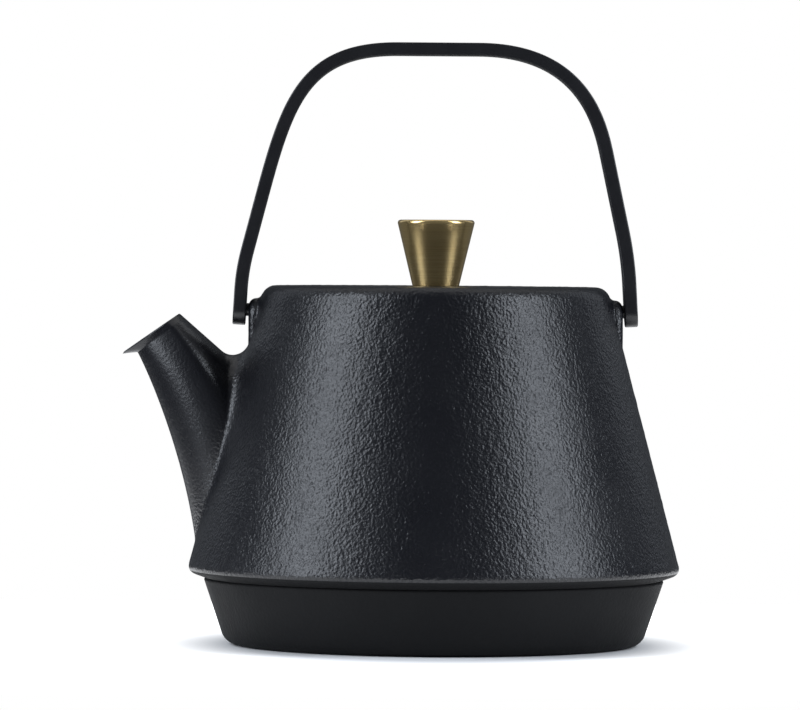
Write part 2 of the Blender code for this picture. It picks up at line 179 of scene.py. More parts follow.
# %% Profiles
def rounded_profile(corners, arc_points=7):
    """Points along an outline of (radius, height, fillet, spacing) corners.

    A fillet above 0 turns the corner into an arc tangent to both runs; spacing fills the run that follows.
    """
    spots = [np.array(corner[:2]) for corner in corners]
    pieces = []
    for index, (_, _, fillet, _) in enumerate(corners):
        spot = spots[index]
        if fillet == 0.0:
            pieces.append(spot[None])
            continue
        before = spots[index - 1] - spot
        after = spots[(index + 1) % len(spots)] - spot
        before /= np.linalg.norm(before)
        after /= np.linalg.norm(after)
        half = math.acos(np.clip(before @ after, -1.0, 1.0)) / 2.0
        middle = before + after
        centre = spot + middle / np.linalg.norm(middle) * fillet / math.sin(half)
        start, end = spot + before * fillet / math.tan(half), spot + after * fillet / math.tan(half)
        blend = np.linspace(0.0, 1.0, arc_points)[:, None]
        sweep = math.pi - 2.0 * half
        arc = (np.sin((1.0 - blend) * sweep) * (start - centre) + np.sin(blend * sweep) * (end - centre))
        pieces.append(centre + arc / math.sin(sweep))
    outline = []
    for index, piece in enumerate(pieces):
        outline.append(piece)
        spacing = corners[index][3]
        if spacing > 0.0:
            start, end = piece[-1], pieces[(index + 1) % len(pieces)][0]
            count = max(1, round(float(np.linalg.norm(end - start)) / spacing))
            steps = np.arange(1, count)[:, None] / count
            outline.append(start + (end - start) * steps)
    return np.concatenate(outline)


def turned(profile, columns):
    """Every (radius, height) goes round the axis: x = r cos a, y = r sin a, z = height."""
    angle = np.linspace(0.0, 2.0 * math.pi, columns, endpoint=False)
    radius, height = profile[:, :1], profile[:, 1:]
    return np.stack([radius * np.cos(angle), radius * np.sin(angle), height + 0.0 * angle], axis=-1)


def profile_outward(profile, closed):
    """Unit normals of a profile that runs down its outer side: the tangent turned a quarter left."""
    if closed:
        tangent = np.roll(profile, -1, axis=0) - np.roll(profile, 1, axis=0)
    else:
        tangent = np.gradient(profile, axis=0)
    normal = np.stack([-tangent[:, 1], tangent[:, 0]], axis=1)
    return normal / np.maximum(np.linalg.norm(normal, axis=1, keepdims=True), 1e-12)


# %% [markdown]
# The iron keeps the grain of the mould: low round pebbles about a millimetre and a half across, made by a
# formula. Space is cut into small cubes, each cube holds one soft round bump of its own place and height,
# and the relief at a point is the sum of the bumps in the cubes around it. It depends only on the point, so
# it runs on unbroken from the cone to the spout.

# %% Cast grain
PEBBLE = 1.5 * MM
PEBBLE_HEIGHT = 0.075 * MM


def cube_number(cubes, channel):
    """A repeatable number from 0 to 1 for each whole-number cube: its coordinates multiplied and mixed."""
    x, y, z = (cubes[..., axis].astype(np.uint64) for axis in range(3))
    mixed = x * np.uint64(73856093) ^ y * np.uint64(19349663) ^ z * np.uint64(83492791)
    mixed ^= np.uint64(channel * 2654435761)
    mixed ^= mixed >> np.uint64(13)
    mixed *= np.uint64(1274126177)
    mixed ^= mixed >> np.uint64(16)
    return (mixed & np.uint64(0xffffff)).astype(float) / 0xffffff


def grain(points, size=PEBBLE):
    """Relief from about -1 to 1: a sum of round bumps, one in each of the 27 cubes around a point."""
    scaled = points.reshape(-1, 3) / size + 1000.0
    home = np.floor(scaled)
    total = np.zeros(len(scaled))
    for shift in np.ndindex(3, 3, 3):
        cube = home + np.array(shift) - 1.0
        centre = cube + np.stack([cube_number(cube, channel) for channel in (1, 2, 3)], axis=-1)
        height = cube_number(cube, 4) * 2.0 - 1.0
        distance = ((scaled - centre) ** 2).sum(axis=1)
        total += height * np.exp(-distance * 3.2)
    return total.reshape(points.shape[:-1])


sample = grain(np.random.default_rng(5).uniform(-0.05, 0.05, (4000, 3)))
print(f"grain relief: mean {sample.mean():.3f}, spread {sample.std():.3f}")


def smooth_step(value, low, high):
    """0 below low, 1 above high, and an S-curve between."""
    t = np.clip((value - low) / (high - low), 0.0, 1.0)
    return t * t * (3.0 - 2.0 * t)


# %% [markdown]
# Finishes. Black iron is a dark, slightly blue-black colour under a semi-gloss skin. The relief of the mesh
# breaks the light into patches and a finer bump, made from a noise and soft cells, breaks it into sparkles.
# On the spout the bump is weak and grows to its full strength near the cone. The foot is smoother and more
# matt, the inside is glossy enamel, and the handle is drawn strap under a satin coat. All patterns read
# object coordinates or a value stored on the mesh, so they stay on the iron in every view.

# %% Node helpers
class Finish:
    """A Principled material and short calls to wire its patterns."""

    def __init__(self, name, colour, roughness, metallic=0.0, specular=0.5):
        self.material = bpy.data.materials.new(name)
        self.material.use_nodes = True
        self.tree = self.material.node_tree
        self.shader = self.tree.nodes["Principled BSDF"]
        self.set(**{"Base Color": (*colour, 1.0), "Roughness": roughness, "Metallic": metallic,
                    "Specular IOR Level": specular})
        self.material.diffuse_color = (*colour, 1.0)
        self.place = self.tree.nodes.new("ShaderNodeTexCoord").outputs["Object"]

    def set(self, **values):
        for socket, value in values.items():
            self.shader.inputs[socket].default_value = value

    def node(self, kind, values, links):
        """A new node with constant values on some inputs and other nodes' outputs on the rest."""
        node = self.tree.nodes.new(kind)
        for socket, value in values.items():
            node.inputs[socket].default_value = value
        for socket, source in links.items():
            self.tree.links.new(source, node.inputs[socket])
        return node

    def stretched(self, x, y, z):
        """Object coordinates multiplied along each axis."""
        return self.node("ShaderNodeMapping", {"Scale": (x, y, z)}, {"Vector": self.place}).outputs["Vector"]

    def noise(self, scale, detail=2.0, rough=0.5, place=None):
        values = {"Scale": scale, "Detail": detail, "Roughness": rough}
        return self.node("ShaderNodeTexNoise", values, {"Vector": place or self.place}).outputs["Fac"]

    def cells(self, scale, smoothness):
        node = self.node("ShaderNodeTexVoronoi", {"Scale": scale}, {"Vector": self.place})
        node.feature = 'SMOOTH_F1'
        node.inputs["Smoothness"].default_value = smoothness
        return node.outputs["Distance"]

    def distance(self, x, y):
        """Distance from the object's own axis, with x and y multiplied first."""
        node = self.node("ShaderNodeVectorMath", {}, {0: self.stretched(x, y, 0.0)})
        node.operation = 'LENGTH'
        return node.outputs["Value"]

    def mixed(self, first, second, weight):
        """first times (1 - weight) plus second times weight."""
        return self.node("ShaderNodeMix", {"Factor": weight}, {"A": first, "B": second}).outputs["Result"]

    def ranged(self, source, low, high, from_low=0.3, from_high=0.7):
        """The stretch from from_low to from_high carried onto low to high."""
        values = {"From Min": from_low, "From Max": from_high, "To Min": low, "To Max": high}
        return self.node("ShaderNodeMapRange", values, {"Value": source}).outputs["Result"]

    def tinted(self, source, stops):
        """A colour ramp with (position, colour) stops."""
        node = self.tree.nodes.new("ShaderNodeValToRGB")
        ramp = node.color_ramp
        while len(ramp.elements) < len(stops):
            ramp.elements.new(1.0)
        for element, (position, colour) in zip(ramp.elements, stops):
            element.position = position
            element.color = (*colour, 1.0)
        self.tree.links.new(source, node.inputs["Fac"])
        return node.outputs["Color"]

    def bump(self, height, distance, strength=1.0, share=None):
        """A fine relief of the given height; share, if given, scales its strength from place to place."""
        links = {"Height": height, "Strength": share} if share else {"Height": height}
        node = self.node("ShaderNodeBump", {"Strength": strength, "Distance": distance}, links)
        self.feed("Normal", node.outputs["Normal"])

    def share(self, name):
        """A number from 0 to 1 that the mesh carries at each of its points."""
        node = self.node("ShaderNodeAttribute", {}, {})
        node.attribute_name = name
        return node.outputs["Fac"]

    def times(self, source, amount):
        node = self.node("ShaderNodeMath", {1: amount}, {0: source})
        node.operation = 'MULTIPLY'
        return node.outputs["Value"]

    def feed(self, socket, source):
        self.tree.links.new(source, self.shader.inputs[socket])


# %% Black iron, foot, enamel and strap
IRON_COLOUR = (0.0045, 0.0048, 0.0070)


def iron_finish(name):
    """Enamelled iron; returns the finish and the height that its bump is made from."""
    finish = Finish(name, IRON_COLOUR, 0.30, specular=0.5)
    finish.feed("Roughness", finish.ranged(finish.noise(60.0, 3.0), 0.27, 0.33))
    return finish, finish.mixed(finish.noise(1050.0, 2.0, 0.5), finish.cells(850.0, 0.4), 0.2)


iron, iron_height = iron_finish("black_iron")
iron.bump(iron_height, 0.36 * MM, 1.0)
spout_iron, spout_height = iron_finish("spout_iron")
spout_iron.bump(spout_height, 0.36 * MM, share=spout_iron.share("pebbled"))

foot_iron = Finish("foot_iron", (0.0108, 0.0110, 0.0116), 0.65, specular=0.07)
foot_iron.bump(foot_iron.noise(800.0, 2.0), 0.22 * MM, 0.8)
foot_iron.feed("Roughness", foot_iron.ranged(foot_iron.noise(45.0, 3.0), 0.6, 0.72))

enamel = Finish("inner_enamel", (0.012, 0.012, 0.013), 0.22, specular=0.5)
enamel.bump(enamel.noise(260.0, 2.0), 0.03 * MM, 0.4)

strap = Finish("black_strap", (0.0105, 0.0105, 0.0125), 0.33, specular=0.5)
strap.bump(strap.noise(900.0, 2.0), 0.02 * MM, 0.5)
strap.feed("Roughness", strap.ranged(strap.noise(120.0, 3.0), 0.29, 0.38))

# %% [markdown]
# Aged brass and steel. The knob was turned in a lathe and darkened, so its colour and gloss change in thin
# level rings: noise squeezed along the axis gives them. The basket's steel has faint streaks round it.

# %% Brass and stainless steel
brass = Finish("aged_brass", (0.68, 0.54, 0.28), 0.23, metallic=0.9)
rings = brass.noise(1.0, 5.0, 0.7, brass.stretched(30.0, 30.0, 3600.0))
brass.feed("Base Color", brass.tinted(rings, [(0.25, (0.66, 0.45, 0.18)), (0.52, (0.82, 0.60, 0.27)),
                                               (0.78, (0.92, 0.72, 0.38))]))
brass.feed("Roughness", brass.ranged(rings, 0.19, 0.26))
brass.bump(rings, 0.012 * MM, 0.6)

steel = Finish("stainless", (0.60, 0.60, 0.585), 0.26, metallic=1.0)
streaks = steel.noise(1.0, 4.0, 0.6, steel.stretched(90.0, 90.0, 2600.0))
steel.feed("Roughness", steel.ranged(streaks, 0.2, 0.34))

# %% [markdown]
# The cone. One closed profile makes the upper part of the casting: the top face, the rounded shoulder, the
# straight wall, the overhanging lip, and inside it the wall of the cavity and the ledge for the basket. Only
# the outer skin gets the fine spacing and the grain, which fades out at the recess and the lip's edge.

# %% Cone casting
CONE_COLUMNS = 500
FINE = 0.88 * MM
inner_knee_z = LIP_Z + WALL
inner_shoulder_z = TOP_Z - WALL
cone_profile = rounded_profile([
    (RECESS_R, TOP_Z, 0.45 * MM, 0.9 * MM),
    (SHOULDER_R, TOP_Z, 5.0 * MM, FINE),
    (LIP_R, LIP_Z, 2.6 * MM, 0.9 * MM),
    (SEAM_R - 0.7 * MM, SEAM_Z - 0.3 * MM, 0.0, 0.0),
    (SEAM_R - WALL, SEAM_Z - 0.3 * MM, 0.0, 0.0),
    (cone_radius(inner_knee_z) - WALL, inner_knee_z, 3.0 * MM, 9.0 * MM),
    (cone_radius(inner_shoulder_z) - WALL, inner_shoulder_z, 3.0 * MM, 0.0),
    (CEILING_R + 3.0 * MM, inner_shoulder_z, 0.0, 0.0),
    (CEILING_R, CEILING_Z, 0.0, 0.0),
    (MOUTH_R, CEILING_Z, 0.5 * MM, 0.0),
    (MOUTH_R, LEDGE_Z, 0.3 * MM, 0.0),
    (RECESS_R, LEDGE_Z, 0.3 * MM, 0.0),
], arc_points=7)
cone_grid = turned(cone_profile, CONE_COLUMNS)
outward = profile_outward(cone_profile, closed=True)
radius, height = cone_profile[:, 0], cone_profile[:, 1]
outer_side = (radius > cone_radius(height) - 1.5 * MM) | (height > TOP_Z - 0.6 * MM)
cone_mask = outer_side * smooth_step(height, LIP_Z - 0.5 * MM, LIP_Z + 1.0 * MM)
cone_mask *= smooth_step(radius, RECESS_R + 0.3 * MM, RECESS_R + 2.0 * MM)


def raised(points, normals, mask, amount=PEBBLE_HEIGHT):
    """Points pushed along their normals by the grain, times a mask from 0 to 1."""
    return points + normals * (grain(points) * mask * amount)[..., None]


cone_normals = turned(outward, CONE_COLUMNS)
cone_grid = raised(cone_grid, cone_normals, cone_mask[:, None])
cone_mesh = grid_mesh("pot_cone", cone_grid, round_rows=True)

# %% [markdown]
# The foot is the lower part of the casting: a wall that flares up to the lip, a rounded bottom edge and the
# floor of the cavity. It meets the cone in a narrow, slightly rounded line.

# %% Foot
FOOT_COLUMNS = 420
foot_inner_r = FOOT_R + (SEAM_R - FOOT_R) * FLOOR_Z / SEAM_Z - WALL
foot_profile = rounded_profile([
    (0.0, FLOOR_Z, 0.0, 6.0 * MM),
    (foot_inner_r, FLOOR_Z, 6.0 * MM, 4.0 * MM),
    (SEAM_R - WALL, SEAM_Z - 0.3 * MM, 0.0, 0.0),
    (SEAM_R, SEAM_Z - 0.3 * MM, 0.75 * MM, 0.9 * MM),
    (FOOT_R, 0.0, 5.5 * MM, 4.0 * MM),
    (0.0, 0.0, 0.0, 0.0),
], arc_points=9)
foot_grid = turned(foot_profile, FOOT_COLUMNS)
foot_outward = profile_outward(foot_profile, closed=False)
on_wall = (foot_profile[:, 0] > FOOT_R - 3.0 * MM) & (foot_profile[:, 0] > foot_inner_r + 2.0 * MM)
foot_mask = on_wall * smooth_step(foot_profile[:, 1], 0.3 * MM, 3.0 * MM)
foot_mask *= 1.0 - smooth_step(foot_profile[:, 1], SEAM_Z - 2.0 * MM, SEAM_Z - 0.6 * MM)
foot_grid = raised(foot_grid, turned(foot_outward, FOOT_COLUMNS), foot_mask[:, None], 0.02 * MM)
foot_mesh = grid_mesh("pot_foot", foot_grid)

# %% [markdown]
# The spout. A cross-section is an egg whose two halves meet at the widest point, nearer the upper edge than
# the lower. Two Bezier curves give the upper and lower edge of every section, and the sections are carried
# from the mouth into the pot. At the mouth the lower edge is drawn out to a drip lip and the section to a
# point.

# %% Spout: edges and sections
SPOUT_COLUMNS = 168
TIP = np.array([pot_low.x, 97.5 * MM])
upper_curve = np.array([(-86.1, 111.0), (-77.4, 103.4), (-68.7, 95.8), (-60.0, 88.2)]) * MM
lower_curve = np.array([(-101.1, 99.2), (-97.9, 93.8), (-84.8, 65.4), (-80.5, 34.0)]) * MM
LIP_SHARE = 0.055              # share of the spout's length that the drip lip takes


def bezier(corners, t):
    """Cubic Bezier: the four corners weighted by (1-t)^3, 3t(1-t)^2, 3t^2(1-t) and t^3."""
    t = np.asarray(t)[..., None]
    weights = ((1 - t) ** 3, 3 * t * (1 - t) ** 2, 3 * t ** 2 * (1 - t), t ** 3)
    return sum(weight * corner for weight, corner in zip(weights, corners))


def half_width(t):
    """Half the spout's width: it grows from the mouth and levels off at the root."""
    return (8.8 + 8.6 * np.sin(np.clip(t, 0.0, 1.0) * math.pi / 2.0) ** 1.15) * MM


def spout_surface(t, angle, inset):
    """Points of the spout's skin, moved inwards by inset: shape (rows, columns, 3).

    t runs from the mouth (0) to the root (1), angle goes round the section from its upper edge.
    """
    t, inset = t[:, None], np.broadcast_to(inset, t.shape)[:, None]
    upper, lower = bezier(upper_curve, t[:, 0]), bezier(lower_curve, t[:, 0])
    drip = np.clip(1.0 - t / LIP_SHARE, 0.0, 1.0)
    lower = lower + drip * (TIP - lower_curve[0])
    across = lower - upper
    across /= np.linalg.norm(across, axis=1, keepdims=True)
    upper, lower = upper + across * inset, lower - across * inset * (1.0 + 1.2 * drip)
    widest = 0.30 + 0.13 * t
    fall, side = -np.cos(angle)[None], np.sin(angle)[None]
    along = np.where(fall < 0.0, widest * (1.0 + fall), widest + (1.0 - widest) * fall)
    shoulder = np.sign(side) * np.abs(side) ** 1.5
    keel = np.sign(side) * np.abs(side) ** (1.0 + 0.9 * drip)
    width = np.where(fall < 0.0, shoulder, keel) * (half_width(t) - inset)
    x = upper[:, :1] + (lower - upper)[:, :1] * along
    z = upper[:, 1:] + (lower - upper)[:, 1:] * along
    return np.stack([x, width, z], axis=-1)


spout_angle = np.linspace(0.0, 2.0 * math.pi, SPOUT_COLUMNS, endpoint=False)

# %% [markdown]
# Where the spout meets the cone the casting has a hollow fillet. Each column of the spout is followed until
# it crosses the cone. From that crossing one point is taken back up the spout and one out along the cone,
# and an arc between the two, tangent at both ends, makes the fillet. A rational Bezier with the right
# middle weight is an exact arc: the weight is the sine of half the angle between the two surfaces.

# %% Spout: where it meets the cone
def crossing(inset, wall_inset):
    """For every column, the t at which the skin reaches the cone's surface moved in by wall_inset."""
    t = np.linspace(0.0, 1.0, 1201)
    skin = spout_surface(t, spout_angle, inset(t))
    outside = np.hypot(skin[..., 0], skin[..., 1]) - (cone_radius(skin[..., 2]) - wall_inset)
    inside_row = np.argmax(outside < 0.0, axis=0)
    before = np.take_along_axis(outside, inside_row[None] - 1, axis=0)[0]
    after = np.take_along_axis(outside, inside_row[None], axis=0)[0]
    share = before / (before - after)
    return t[inside_row - 1] + (t[1] - t[0]) * share


def skin_at(t, inset):
    """One point per column, each at its own t."""
    rows = spout_surface(t, spout_angle, inset)
    return rows[np.arange(SPOUT_COLUMNS), np.arange(SPOUT_COLUMNS)]


def onto_cone(points, sink=0.0):
    """Points moved level, towards or away from the axis, until they lie on the cone."""
    reach = (cone_radius(points[..., 2]) - sink) / np.hypot(points[..., 0], points[..., 1])
    return points * np.stack([reach, reach, np.ones_like(reach)], axis=-1)


def unit(vectors):
    return vectors / np.linalg.norm(vectors, axis=-1, keepdims=True)


no_inset = np.zeros(SPOUT_COLUMNS)
meet_t = crossing(lambda t: 0.0 * t, 0.0)
meet = skin_at(meet_t, no_inset)
print(f"spout meets the cone from z = {meet[:, 2].min() / MM:.1f} to {meet[:, 2].max() / MM:.1f} mm, "
      f"{np.ptp(meet[:, 1]) / MM:.1f} mm wide")

# %% Spout: fillet
FILLET_ROWS = 16
top_share = 0.5 + 0.5 * np.cos(spout_angle)
fillet_radius = (5.0 + 0.6 * top_share ** 6) * MM
cone_rise = CONE_SLOPE * np.hypot(meet[:, 0], meet[:, 1])
cone_normal = unit(np.stack([meet[:, 0], meet[:, 1], cone_rise], axis=-1))
loop_direction = unit(np.roll(meet, -1, axis=0) - np.roll(meet, 1, axis=0))
away = unit(np.cross(cone_normal, loop_direction))
away *= np.sign(((meet - meet.mean(axis=0)) * away).sum(axis=1, keepdims=True))
up_spout = unit(skin_at(meet_t - 0.02, no_inset) - meet)
half_angle = np.arccos(np.clip((away * up_spout).sum(axis=1), -0.999, 0.999)) / 2.0
reach = np.minimum(fillet_radius / np.tan(half_angle), 11.0 * MM)

column_step = np.linalg.norm(skin_at(meet_t - 0.01, no_inset) - meet, axis=1) / 0.01
start_t = meet_t - reach / column_step
fillet_start = skin_at(start_t, no_inset)
fillet_end = onto_cone(meet + away * reach[:, None])
weight = np.sin(half_angle)[None, :, None]
s = np.linspace(0.0, 1.0, FILLET_ROWS)[:, None, None]
arc = ((1 - s) ** 2 * fillet_start + 2 * s * (1 - s) * weight * meet + s ** 2 * fillet_end)
arc /= (1 - s) ** 2 + 2 * s * (1 - s) * weight + s ** 2
print(f"fillet reach {reach.min() / MM:.1f} to {reach.max() / MM:.1f} mm")

# %% [markdown]
# One closed grid makes the whole spout: its rows run down the outside, through the fillet, dip under the
# cone's skin, come back inside the iron, out along the passage and round the rim of the mouth. The passage
# has its own crossing, with the cavity's wall.

# %% Spout: passage, rim and mesh
PASSAGE_T = 0.012              # share of the spout's length at which the passage begins
RIM_ROWS = 7
MOUTH_WAY = np.array([-0.545, 0.0, 0.839])   # roughly straight out of the mouth
SPOUT_GRAIN = 0.12             # share of the cone's grain that the spout keeps away from the fillet


def passage_inset(t):
    """Wall thickness of the spout: thin at the mouth, thicker towards the root."""
    return (1.5 + 6.5 * t ** 1.5) * MM


def sleeve_inset(t):
    """The outside of the sleeve that lines the hole in the cone's wall."""
    return passage_inset(t) * 0.72


inner_t = np.clip(crossing(passage_inset, WALL) + 0.01, 0.0, 1.0)
sleeve_t = np.clip(meet_t - 0.01, 0.0, 1.0)

outer_rows = []
for share in np.linspace(0.0, 1.0, 96)[1:]:
    row_t = share ** 1.15 * start_t
    outer_rows.append(skin_at(row_t, no_inset))
outer_rows = np.stack(outer_rows)[:-1]

mouth_out = skin_at(0.0 * meet_t, no_inset)
mouth_in = skin_at(PASSAGE_T + 0.0 * meet_t, np.full(SPOUT_COLUMNS, float(passage_inset(0.0))))
lift = MOUTH_WAY * 0.6 * MM
turn_share = np.linspace(0.0, 1.0, RIM_ROWS)[:, None, None]
rim = mouth_in * (1 - turn_share) + mouth_out * turn_share + lift * np.sin(turn_share * math.pi) ** 0.6

sunk = onto_cone(fillet_end + away * 0.6 * MM, sink=0.25 * MM)
sleeve_share = np.linspace(0.0, 1.0, 6)[1:]
sleeve_rows = [sleeve_t * (1 - share) + inner_t * share for share in sleeve_share]
sleeve = np.stack([skin_at(row_t, sleeve_inset(row_t)) for row_t in sleeve_rows])
hidden = onto_cone(meet, sink=2.2 * MM)
passage = []
for share in np.linspace(1.0, 0.0, 44)[:-1]:
    row_t = share * inner_t + (1 - share) * PASSAGE_T
    passage.append(skin_at(row_t, passage_inset(row_t)))
passage = np.stack(passage)

spout_grid = np.concatenate([outer_rows, arc, sunk[None], hidden[None], sleeve, passage, rim])
step_rows = np.roll(spout_grid, -1, axis=0) - np.roll(spout_grid, 1, axis=0)
step_columns = np.roll(spout_grid, -1, axis=1) - np.roll(spout_grid, 1, axis=1)
spout_normals = unit(np.cross(step_rows, step_columns) + 1e-15)
visible = len(outer_rows) + FILLET_ROWS
ramp = np.zeros(len(spout_grid))
ramp[:visible] = smooth_step(np.arange(visible), 0, 8) * SPOUT_GRAIN
ramp[visible - FILLET_ROWS:visible] += (1.0 - SPOUT_GRAIN) * np.linspace(0.0, 1.0, FILLET_ROWS) ** 1.5
facing = np.sign((spout_normals[20] * (spout_grid[20] - spout_grid[20].mean(axis=0))).sum(axis=1).mean())
spout_grid = raised(spout_grid, spout_normals * facing, ramp[:, None])
spout_mesh = grid_mesh("pot_spout", spout_grid, round_rows=True)

# %% [markdown]
# The cone's wall still closes off the passage. A plug a little wider than the passage, but narrower than
# the sleeve that lines it, is cut out of the wall. Two round plugs make the blind holes for the pegs.

# %% Plugs for the holes
def plug_rows():
    t = np.linspace(0.25, 1.0, 24)
    rows = spout_surface(t, spout_angle[::4], sleeve_inset(t) + 0.35 * MM)
    inward = rows[-1] + np.array([9.0, 0.0, -1.0]) * MM
    first, last = rows[0].mean(axis=0), inward.mean(axis=0)
    ones = np.ones((1, rows.shape[1], 3))
    return np.concatenate([ones * first, rows, inward[None], ones * last])


def bar_along_x(x_start, x_end, bar_radius, sides=48):
    """A closed round bar on the handle's axis, from x_start to x_end."""
    angle = np.linspace(0.0, 2.0 * math.pi, sides, endpoint=False)
    radii = np.array([0.0, bar_radius, bar_radius, 0.0])[:, None]
    x = np.array([x_start, x_start, x_end, x_end])[:, None]
    return np.stack([x + 0.0 * angle, radii * np.cos(angle), pivot_z + radii * np.sin(angle)], axis=-1)


PEG_HOLE_R = 2.5 * MM
HOLE_START_X, HOLE_END_X = 59.0 * MM, 72.0 * MM
passage_plug = grid_mesh("passage_plug", plug_rows())
peg_plugs = [grid_mesh(f"peg_plug_{side}", bar_along_x(side * HOLE_START_X, side * HOLE_END_X, PEG_HOLE_R))
             for side in (-1, 1)]
cone_mesh = carve(cone_mesh, [passage_plug, *peg_plugs])

# %% [markdown]
# One casting has several finishes. Faces deeper than half a wall under the skin are enamel, and the
# underside of the lip is as matt as the foot. The spout stores how strongly each of its points is pebbled.

# %% Finishes of the casting
def places(items, key):
    """The x, y and z of every point ("co") or face ("center") of a mesh, as three arrays."""
    flat = np.empty(len(items) * 3)
    items.foreach_get(key, flat)
    return flat.reshape(-1, 3).T


def enamel_inside(mesh, wall):
    """Gives the second material to the faces that lie deeper than half a wall under the casting's skin."""
    x, y, z = places(mesh.polygons, "center")
    inside = (np.hypot(x, y) < wall(z)) & (z < TOP_Z - 2.0 * MM) & (z > FLOOR_Z - 0.5 * MM)
    mesh.polygons.foreach_set("material_index", inside.astype(np.int32))
    print(f"{mesh.name}: {inside.sum()} enamelled faces of {len(inside)}")


def matt_below(mesh, top, lowest_radius):
    """Gives the third material to the outer faces below a height: the underside of the lip."""
    x, y, z = places(mesh.polygons, "center")
    number = np.empty(len(mesh.polygons), np.int32)
    mesh.polygons.foreach_get("material_index", number)
    number[(z < top) & (np.hypot(x, y) > lowest_radius)] = 2
    mesh.polygons.foreach_set("material_index", number)


x, y, z = places(spout_mesh.vertices, "co")
pebbled = 0.3 + 0.7 * (1.0 - smooth_step(np.hypot(x, y) - cone_radius(z), 0.5 * MM, 6.0 * MM))
spout_mesh.attributes.new("pebbled", 'FLOAT', 'POINT').data.foreach_set("value", pebbled)
cone_finishes = [iron.material, enamel.material, foot_iron.material]
show("pot_cone", cone_mesh, "pot", cone_finishes, ["pot_body"])
enamel_inside(cone_mesh, lambda z: cone_radius(z) - WALL / 2.0)
matt_below(cone_mesh, LIP_Z + 0.5 * MM, SEAM_R - 1.5 * MM)
show("pot_foot", foot_mesh, "pot", [foot_iron.material, enamel.material])
enamel_inside(foot_mesh, lambda z: FOOT_R + (SEAM_R - FOOT_R) * z / SEAM_Z - WALL / 2.0)
show("pot_spout", spout_mesh, "pot", [spout_iron.material])

# %% [markdown]
# The ears are tongues with a round top. Seen along the handle's axis each one is an upright capsule, so its
# rings are capsules too: the first grow from the capsule's middle line across the flat face, the next turn
# over the rounded edge, then the side wall runs in to the cone and ends in a fillet.

# %% Ears
EAR_FACE = 63.1 * MM
EAR_HALF = 7.5 * MM
EAR_TOP = 116.6 * MM
EAR_LOW = 99.0 * MM
EAR_EDGE = 2.6 * MM


def capsule(count):
    """Outward directions and middle-line heights round an upright capsule, evenly spaced."""
    straight = EAR_TOP - EAR_HALF - EAR_LOW
    around = np.linspace(0.0, 1.0, count, endpoint=False)
    length = 2.0 * straight + 2.0 * math.pi * EAR_HALF
    walk = around * length
    cap = math.pi * EAR_HALF
    stretch = [walk < cap, walk < cap + straight, walk < 2 * cap + straight]
    top = EAR_TOP - EAR_HALF
    angle = np.select(stretch, [walk / EAR_HALF, math.pi, (walk - straight) / EAR_HALF], 2 * math.pi)
    middle = np.select(stretch, [top, top - (walk - cap), EAR_LOW], EAR_LOW + walk - 2 * cap - straight)
    return np.cos(angle), np.sin(angle), middle


def ear_grid(side):
    """Rings from the middle of the face out over the edge, in along the wall, out along the cone."""
    across, rise, middle = capsule(150)
    rings = []
    for inset in np.linspace(EAR_HALF, EAR_EDGE, 9):
        rings.append((0.0 * across + EAR_FACE, inset + 0.0 * across))
    for turn in np.linspace(0.0, math.pi / 2.0, 8)[1:]:
        depth, inset = EAR_EDGE * (1.0 - math.cos(turn)), EAR_EDGE * (1.0 - math.sin(turn))
        rings.append((EAR_FACE - depth + 0.0 * across, inset + 0.0 * across))
    y, z = EAR_HALF * across, middle + EAR_HALF * rise
    wall_end = np.sqrt(cone_radius(z) ** 2 - y ** 2)
    room = np.clip(EAR_FACE - EAR_EDGE - wall_end, 0.12 * MM, None)
    fillet = np.minimum(1.5 * MM, room)
    for turn in np.linspace(0.0, math.pi / 2.0, 8):
        grow = fillet * (1.0 - math.cos(turn))
        out_y, out_z = (EAR_HALF + grow) * across, middle + (EAR_HALF + grow) * rise
        skin = np.sqrt(cone_radius(out_z) ** 2 - out_y ** 2)
        depth = skin + fillet * (1.0 - math.sin(turn))
        depth = np.minimum(depth, EAR_FACE - EAR_EDGE)
        rings.append((depth, -grow))
    out_y, out_z = (EAR_HALF + fillet) * across, middle + (EAR_HALF + fillet) * rise
    buried = np.sqrt(cone_radius(out_z) ** 2 - out_y ** 2) - 1.2 * MM
    rings.append((np.minimum(buried, rings[-1][0]), -fillet))
    rings.append((0.0 * across + buried.min(), EAR_HALF + 0.0 * across))
    x = np.stack([ring[0] for ring in rings])
    inset = np.stack([ring[1] for ring in rings])
    points = np.stack([side * x, (EAR_HALF - inset) * across, middle + (EAR_HALF - inset) * rise], axis=-1)
    return points


for side, word, plug in ((-1, "front", peg_plugs[0]), (1, "rear", peg_plugs[1])):
    points = ear_grid(side)
    normal = np.zeros_like(points)
    normal[..., 0] = side
    mask = np.zeros(points.shape[:2])
    mask[:9] = 1.0
    points = raised(points, normal, mask, 0.03 * MM)
    ear_mesh = carve(grid_mesh(f"ear_{word}", points, weld=4e-7), [plug])
    show(f"ear_{word}", ear_mesh, "pot", [iron.material])

# %% [markdown]
# The handle is flat strap bent in one plane. Its outline, laid flat, is a long stadium, and again the rings
# are stadiums: each one has an inset from the edge and a height through the thickness. Laying the middle
# line of the stadium along the bent path turns the flat strap into the handle. It was bent by hand: the
# front leg leans about 2.5 degrees more than the rear one.

# %% Handle path
STRAP_T = 4.4 * MM
STRAP_HALF = strap_high.y
STRAP_TOP = strap_high.z
SHIN_LEAN = math.radians(3.2)
GAUGE_Z = 140.0                # millimetres, the height at which a leg's distance from the axis is given
SHIN_FOOT = np.array([math.sin(SHIN_LEAN), -math.cos(SHIN_LEAN)])


